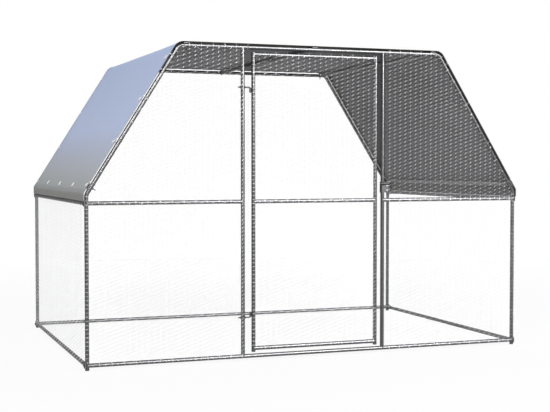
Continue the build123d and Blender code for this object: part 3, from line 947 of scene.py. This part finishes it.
# %% [markdown]
# ## The ties
# White cable ties lace the sheet to the gable tubes and to the eave purlins. Each is a flat band that
# goes round the tube, up through an eyelet in the sheet and back over the sheet's edge, with a flat
# head where the end is pulled through. An eyelet sits a little lower on the slope than its tie's turn
# round the tube, so the band lies askew. Under the sheet the band is painted dark grey, as painted
# shade. The line of the band is a few points whose corners are cut twice, which rounds them. One tie of
# each kind is modelled and then copied to its places.

# %% Line of a tie
tie_skew = 0.032
# Points in millimetres: away from the coop, out of the slope, and the share of the skew.
edge_tie_line = (
    (16.6, 8, 0), (16.2, -5, 0), (11.6, -11.6, 0), (0, -16.2, 0.05), (-11.6, -11.6, 0.15),
    (-16.2, -3, 0.35), (-20, 8, 0.6), (-32, 18, 0.92), (-37, 22.5, 1), (-34, 25.2, 0.95), (0, 25, 0.34),
    (14, 24.8, 0.06), (16.8, 22, 0),
)
# Points in millimetres: up the slope and out of it.
eave_tie_line = (
    (14.2, 8, 0), (13.9, -4, 0), (10, -10, 0), (0, -13.9, 0), (-10, -10, 0), (-13.9, -4, 0), (-14.2, 8, 0),
    (-14, 18.3, 0), (0, 18.4, 0), (14, 18.3, 0),
)


def cut_corners(points):
    """A closed line with each corner cut at a quarter of its sides."""
    cut = []
    for here, ahead in zip(points, points[1:] + points[:1]):
        cut += [here.lerp(ahead, 0.25), here.lerp(ahead, 0.75)]
    return cut


def tie_loop(line, skew):
    """The rounded line of a tie in metres."""
    points = [Vector((x * 0.001, y * 0.001, share * skew)) for x, y, share in line]
    return cut_corners(cut_corners(points))


print("tie lines of", [len(tie_loop(line, 0.0)) for line in (edge_tie_line, eave_tie_line)], "points")

# %% Blocks and joined pieces
def join_pieces(pieces, name):
    """Join several objects to one piece."""
    bpy.ops.object.select_all(action="DESELECT")
    for piece in pieces:
        piece.select_set(True)
    bpy.context.view_layer.objects.active = pieces[0]
    bpy.ops.object.join()
    bpy.context.object.name = name
    return bpy.context.object


def apply_modifiers(piece):
    """Apply all modifiers of a piece."""
    bpy.context.view_layer.objects.active = piece
    for modifier in list(piece.modifiers):
        bpy.ops.object.modifier_apply(modifier=modifier.name)


def rounded_block(size, place, turn, edge):
    """A block with rounded edges, turned and then put in its place."""
    bpy.ops.object.select_all(action="DESELECT")
    bpy.ops.mesh.primitive_cube_add(size=1, scale=size)
    block = bpy.context.object
    bpy.ops.object.transform_apply()
    bevel = block.modifiers.new("edges", "BEVEL")
    bevel.width = edge
    bevel.segments = 2
    apply_modifiers(block)
    block.data.transform(Matrix.Translation(place) @ turn)
    return block


# %% Make the ties
tie_width = 0.0040
tie_thickness = 0.0012
tie_head = (0.0240, 0.0060, 0.0120)
eave_tie_width = 0.0036
eave_tie_head = (0.0240, 0.0060, 0.0095)
head_edge = 0.0007
tail_length = 0.014
tail_share = 0.9
tail_edge = 0.0003
tail_tilt = radians(-14)
tail_start = Vector((-0.008, 0.0022, 0))
under_sheet = 0.017


def make_tie(name, line, skew, width, head_size, head_place, head_turn):
    """A tie that follows a line, with its head on it and the cut end next to the head."""
    loop = tie_loop(line, skew)
    bpy.ops.object.select_all(action="DESELECT")
    bpy.ops.mesh.primitive_circle_add(vertices=len(loop), radius=1)
    band = bpy.context.object
    for vertex, point in zip(band.data.vertices, loop):
        vertex.co = point - Vector((0, 0, width / 2))
    bpy.ops.object.mode_set(mode="EDIT")
    bpy.ops.mesh.select_all(action="SELECT")
    bpy.ops.mesh.extrude_region_move(TRANSFORM_OT_translate={"value": (0, 0, width)})
    bpy.ops.object.mode_set(mode="OBJECT")
    solid = band.modifiers.new("thickness", "SOLIDIFY")
    solid.thickness = tie_thickness
    solid.offset = 0
    apply_modifiers(band)
    # Faces under the sheet take the dark nylon, which is painted shade.
    give_finish(band, tie_nylon, painted_shade_nylon)
    for face in band.data.polygons:
        face.material_index = int(face.center.y < under_sheet)
    head = rounded_block(head_size, head_place, head_turn, head_edge)
    tail_turn = head_turn @ Matrix.Rotation(tail_tilt, 4, "Z")
    tail_place = head_place + head_turn @ tail_start
    tail_size = (tail_length, tie_thickness, width * tail_share)
    tail = rounded_block(tail_size, tail_place, tail_turn, tail_edge)
    return join_pieces([band, head, tail], name)


band_reach = 0.0538
# Away from the coop, out of the slope, and the share of the skew.
edge_head_place = (-0.024, 0.0270, 0.77)
eave_head_place = Vector((0, 0.0198, 0))


def edge_tie(name, skew):
    """A tie at the sheet's edge, with its head on the outer side of the sheet."""
    lean = Matrix.Rotation(atan2(skew, band_reach), 4, "Y")
    away, out, share = edge_head_place
    head_place = Vector((away, out, skew * share))
    return make_tie(name, edge_tie_line, skew, tie_width, tie_head, head_place, lean)


tie_shapes = {way: edge_tie("edge_tie", way * tie_skew) for way in (-1, 1)}
eave_tie = make_tie(
    "eave_tie", eave_tie_line, 0.0, eave_tie_width, eave_tie_head, eave_head_place, Matrix.Identity(4)
)
print("ties of", len(tie_shapes[1].data.polygons), "and", len(eave_tie.data.polygons), "faces")

# %% Copy the ties to their places
ties_along_edge = 4
first_tie = 0.080
last_tie = hypot(half_width - half_top, top_z - eave_z) - first_tie
eave_purlin_up = 0.052
purlin_lift = 0.0025
ties_along_eave = 3


def slope_place(side, y, distance, lift=0.0):
    """Point above a gable tube's axis, at a distance up the slope from the eave."""
    up = Vector((-side * cos(slope_angle), 0, sin(slope_angle)))
    out = Vector((side * sin(slope_angle), 0, cos(slope_angle)))
    return Vector((side * half_width, y, eave_z)) + up * distance + out * lift, up, out


def copy_to(shape, origin, x_way, y_way):
    """A copy of a shape with its own mesh, whose X and Y axes take the given ways."""
    z_way = x_way.cross(y_way)
    turn = Matrix((x_way, y_way, z_way)).transposed().to_4x4()
    copy = shape.copy()
    copy.data = shape.data.copy()
    copy.data.transform(Matrix.Translation(origin) @ turn)
    bpy.context.collection.objects.link(copy)
    return copy


tie_step = (last_tie - first_tie) / (ties_along_edge - 1)
tie_copies = []
for side in (-1, 1):
    for y, face in ((front_y, -1), (back_y, 1)):
        for distance in even_steps(first_tie, last_tie, tie_step):
            origin, _, out = slope_place(side, y, distance)
            tie_copies.append(copy_to(tie_shapes[side * face], origin, Vector((0, face, 0)), out))
    for place in range(1, ties_along_eave + 1):
        y = front_y + (back_y - front_y) * place / (ties_along_eave + 1)
        origin, up, out = slope_place(side, y, eave_purlin_up, purlin_lift)
        tie_copies.append(copy_to(eave_tie, origin, up, out))
ties = join_pieces(tie_copies, "sheet_ties")
for shape in (*tie_shapes.values(), eave_tie):
    bpy.data.objects.remove(shape)
bpy.ops.object.shade_smooth_by_angle(angle=radians(40))
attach(ties, "frame")
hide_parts("cover_ties")
print(len(tie_copies), "ties")

# %% [markdown]
# ## Bolts and nuts
# Coach bolts hold the rails and the purlins: a low domed head outside, and a threaded end with a hexagon
# nut inside. The frame's own bolts are plain blocks of the right size. A turned shape stands in their
# place: a disc is extruded from ring to ring, and each ring is scaled to its radius. The same way makes
# the thread, as rings a pitch apart, and the nut, as a disc of six sides with its corners drawn in.

# %% Turned shapes
dome_turn = radians(78)
dome_steps = 4
thread_root = 0.86
nut_draw_in = 0.88
nut_rise = 0.14


def turn_rings(name, rings, sides):
    """A closed shape on the Z axis through rings of (radius, height)."""
    bpy.ops.object.select_all(action="DESELECT")
    radius, height = rings[0]
    start = (0, 0, height)
    bpy.ops.mesh.primitive_circle_add(vertices=sides, radius=radius, fill_type="NGON", location=start)
    piece = bpy.context.object
    piece.name = name
    bpy.ops.object.transform_apply()
    bpy.ops.object.mode_set(mode="EDIT")
    bpy.ops.mesh.select_all(action="SELECT")
    for (radius, height), (next_radius, next_height) in zip(rings, rings[1:]):
        bpy.ops.mesh.extrude_region_move(TRANSFORM_OT_translate={"value": (0, 0, next_height - height)})
        growth = next_radius / radius
        bpy.ops.transform.resize(value=(growth, growth, 1), center_override=(0, 0, 0))
    bpy.ops.mesh.select_all(action="SELECT")
    bpy.ops.mesh.normals_make_consistent(inside=False)
    bpy.ops.object.mode_set(mode="OBJECT")
    return piece


def dome_rings(radius, rim, height):
    """Rings of a domed head above its seat."""
    angles = [dome_turn * step / dome_steps for step in range(dome_steps + 1)]
    return [(radius, 0.0)] + [(radius * cos(angle), rim + (height - rim) * sin(angle)) for angle in angles]


def thread_rings(radius, low, high, pitch):
    """Rings of a thread between two heights."""
    turns = round((high - low) / pitch)
    rings = []
    for turn in range(turns):
        foot = low + (high - low) * turn / turns
        rings += [(radius * thread_root, foot), (radius, foot + pitch * 0.5)]
    return rings


def make_nut(across_flats, height, place):
    """A hexagon nut whose lower side is at a height on the Z axis."""
    corner = across_flats / sqrt(3)
    drawn_in = corner * nut_draw_in
    rise = height * nut_rise
    rings = [(drawn_in, 0.0), (corner, rise), (corner, height - rise), (drawn_in, height)]
    return turn_rings("nut", [(radius, place + up) for radius, up in rings], 6)


print("turned shapes from", [maker.__name__ for maker in (dome_rings, thread_rings, make_nut)])

# %% Make a bolt
shank_radius = 0.003
thread_pitch = 0.001
thread_length = 0.022
tip_share = 0.7
tip_height = 0.0006
head_radius = 0.0100
head_height = 0.0060
head_rim = 0.0012
nut_size = (0.010, 0.005)
bolt_sides = 16


def make_bolt(name, length, nut_at, radius):
    """A bolt whose head sits on the origin and points up, with its nut, if any, at a distance below."""
    tip = [(shank_radius * tip_share, -length), (shank_radius * thread_root, -length + tip_height)]
    thread = thread_rings(shank_radius, -length + thread_pitch, -length + thread_length, thread_pitch)
    shank = [(shank_radius, -length + thread_length), (shank_radius, 0.0)]
    head = dome_rings(radius, head_rim, head_height)
    bolt = turn_rings(name, tip + thread + shank + head, bolt_sides)
    if nut_at is None:
        return bolt
    return join_pieces([bolt, make_nut(*nut_size, -nut_at - nut_size[1])], name)


def place_bolts(name, length, nut_at, seats, radius=head_radius, finish=fitting_zinc):
    """Copies of a bolt at their seats, each given with the way that its head looks, in place of a node."""
    shape = make_bolt("bolt_shape", length, nut_at, radius)
    copies = []
    for seat, head_way in seats:
        side_way = head_way.orthogonal().normalized()
        copies.append(copy_to(shape, seat, side_way, head_way.cross(side_way)))
    bpy.data.objects.remove(shape)
    bolts = join_pieces(copies, f"{name}_turned")
    give_finish(bolts, finish)
    bpy.ops.object.shade_smooth_by_angle(angle=radians(35))
    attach(bolts, "frame")
    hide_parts(name)
    print(bolts.name, len(seats), "of", len(bolts.data.polygons) // len(seats), "faces")


# %% Bolts of the frame
UPWARD = Vector((0, 0, 1))
seat_out = 0.015
nut_place = 0.0276
frame_bolt_length = 0.048
ridge_bolt_length = 0.035
corner_seats = []
through_seats = []
for side in (-1, 1):
    outward = Vector((side, 0, 0))
    for y in (front_y, back_y):
        for z in (bottom_z, mid_z):
            seats = through_seats if y == back_y and z == mid_z else corner_seats
            seats.append((Vector((side * (half_width + seat_out), y, z)), outward))
        through_seats.append((Vector((side * top_purlin_x, y, top_z + seat_out)), UPWARD))
        eave_seat, _, out = slope_place(side, y, eave_purlin_up, seat_out)
        through_seats.append((eave_seat, out))
place_bolts("corner_bolts", frame_bolt_length, None, corner_seats)
place_bolts("through_bolts", frame_bolt_length, nut_place, through_seats)
ridge_seats = [(Vector((0, y, top_z + seat_out)), UPWARD) for y in (front_y, back_y)]
place_bolts("ridge_bolts", ridge_bolt_length, nut_place, ridge_seats)

# %% Clamp bolts of the latch
clamp_head_radius = 0.0070
clamp_nut_place = 0.0292
clamp_bolt_length = 0.040
clamp_bolt_low, clamp_bolt_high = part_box("latch_clamp_bolts")
clamp_bolt_x = (clamp_bolt_low.x + clamp_bolt_high.x) / 2
plate_front_y = clamp_bolt_low.y + head_height
clamp_seats = [
    (Vector((clamp_bolt_x, plate_front_y, z)), Vector((0, -1, 0)))
    for z in (clamp_bolt_low.z + clamp_head_radius, clamp_bolt_high.z - clamp_head_radius)
]
place_bolts(
    "latch_clamp_bolts", clamp_bolt_length, clamp_nut_place, clamp_seats, clamp_head_radius, bolt_zinc
)

# %% [markdown]
# ## The pintles
# The door hangs on two bent rods. Each rod goes through the left door post, is held there by a nut on
# either side, and turns up or down into a sleeve on the door. The rod is a ring of points that is
# extruded along the straight run, spun through the bend and extruded once more along the pin.

# %% Make a pintle
pin_radius = 0.004
bend_radius = 0.008
pintle_nut = (0.013, 0.0065)
pintle_tail = 0.012
pintle_thread = 0.050
pintle_pitch = 0.00125
thread_lap = 0.002
nut_gap = 0.0001
rod_sides = 12
bend_steps = 6
weld_distance = 0.00001
sleeve_low, sleeve_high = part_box("hinge_sleeves")
hinge_x = (sleeve_low.x + sleeve_high.x) / 2
to_post = hinge_x + post_x
post_face = tube_radius + nut_gap
pin_length = 0.0343
rod_length = to_post + post_face + pintle_nut[1] + pintle_tail


def make_pintle():
    """A pintle whose rod comes in along X and whose pin goes up the Z axis from the origin."""
    rings = thread_rings(pin_radius, 0.0, pintle_thread + thread_lap, pintle_pitch)
    rod = turn_rings("rod", rings, rod_sides)
    rod.data.transform(Matrix.Translation((-rod_length, 0, 0)) @ Matrix.Rotation(pi / 2, 4, "Y"))
    bpy.ops.object.select_all(action="DESELECT")
    bpy.ops.mesh.primitive_circle_add(vertices=rod_sides, radius=pin_radius, fill_type="NGON")
    bend = bpy.context.object
    bend_start = Matrix.Translation((-rod_length + pintle_thread, 0, 0))
    bend.data.transform(bend_start @ Matrix.Rotation(pi / 2, 4, "Y"))
    bpy.ops.object.mode_set(mode="EDIT")
    bpy.ops.mesh.select_all(action="SELECT")
    run = rod_length - pintle_thread - bend_radius
    bpy.ops.mesh.extrude_region_move(TRANSFORM_OT_translate={"value": (run, 0, 0)})
    bend_centre = (-bend_radius, 0, bend_radius)
    bpy.ops.mesh.spin(steps=bend_steps, angle=pi / 2, center=bend_centre, axis=(0, 1, 0))
    bpy.ops.mesh.extrude_region_move(TRANSFORM_OT_translate={"value": (0, 0, pin_length - bend_radius)})
    bpy.ops.mesh.select_all(action="SELECT")
    bpy.ops.mesh.remove_doubles(threshold=weld_distance)
    bpy.ops.mesh.normals_make_consistent(inside=False)
    bpy.ops.object.mode_set(mode="OBJECT")
    nuts = []
    for place in (-to_post - post_face - pintle_nut[1], -to_post + post_face):
        nut = make_nut(*pintle_nut, place)
        nut.data.transform(Matrix.Rotation(pi / 2, 4, "Y"))
        nuts.append(nut)
    return join_pieces([bend, rod, *nuts], "pintle_shape")


pintle = make_pintle()
print("pintle of", len(pintle.data.polygons), "faces")

# %% Put the pintles in their sleeves
pintle_low, pintle_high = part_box("hinge_pintles")
nut_corner = pintle_nut[0] / sqrt(3)
pintle_copies = [
    copy_to(pintle, Vector((hinge_x, front_y, height)), Vector((1, 0, 0)), Vector((0, way, 0)))
    for height, way in ((pintle_high.z - nut_corner, -1), (pintle_low.z + nut_corner, 1))
]
bpy.data.objects.remove(pintle)
pintles = join_pieces(pintle_copies, "bent_pintles")
give_finish(pintles, fitting_zinc)
bpy.ops.object.shade_smooth_by_angle(angle=radians(35))
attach(pintles, "frame")
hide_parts("hinge_pintles")
print(pintles.name, len(pintles.data.polygons), "faces")
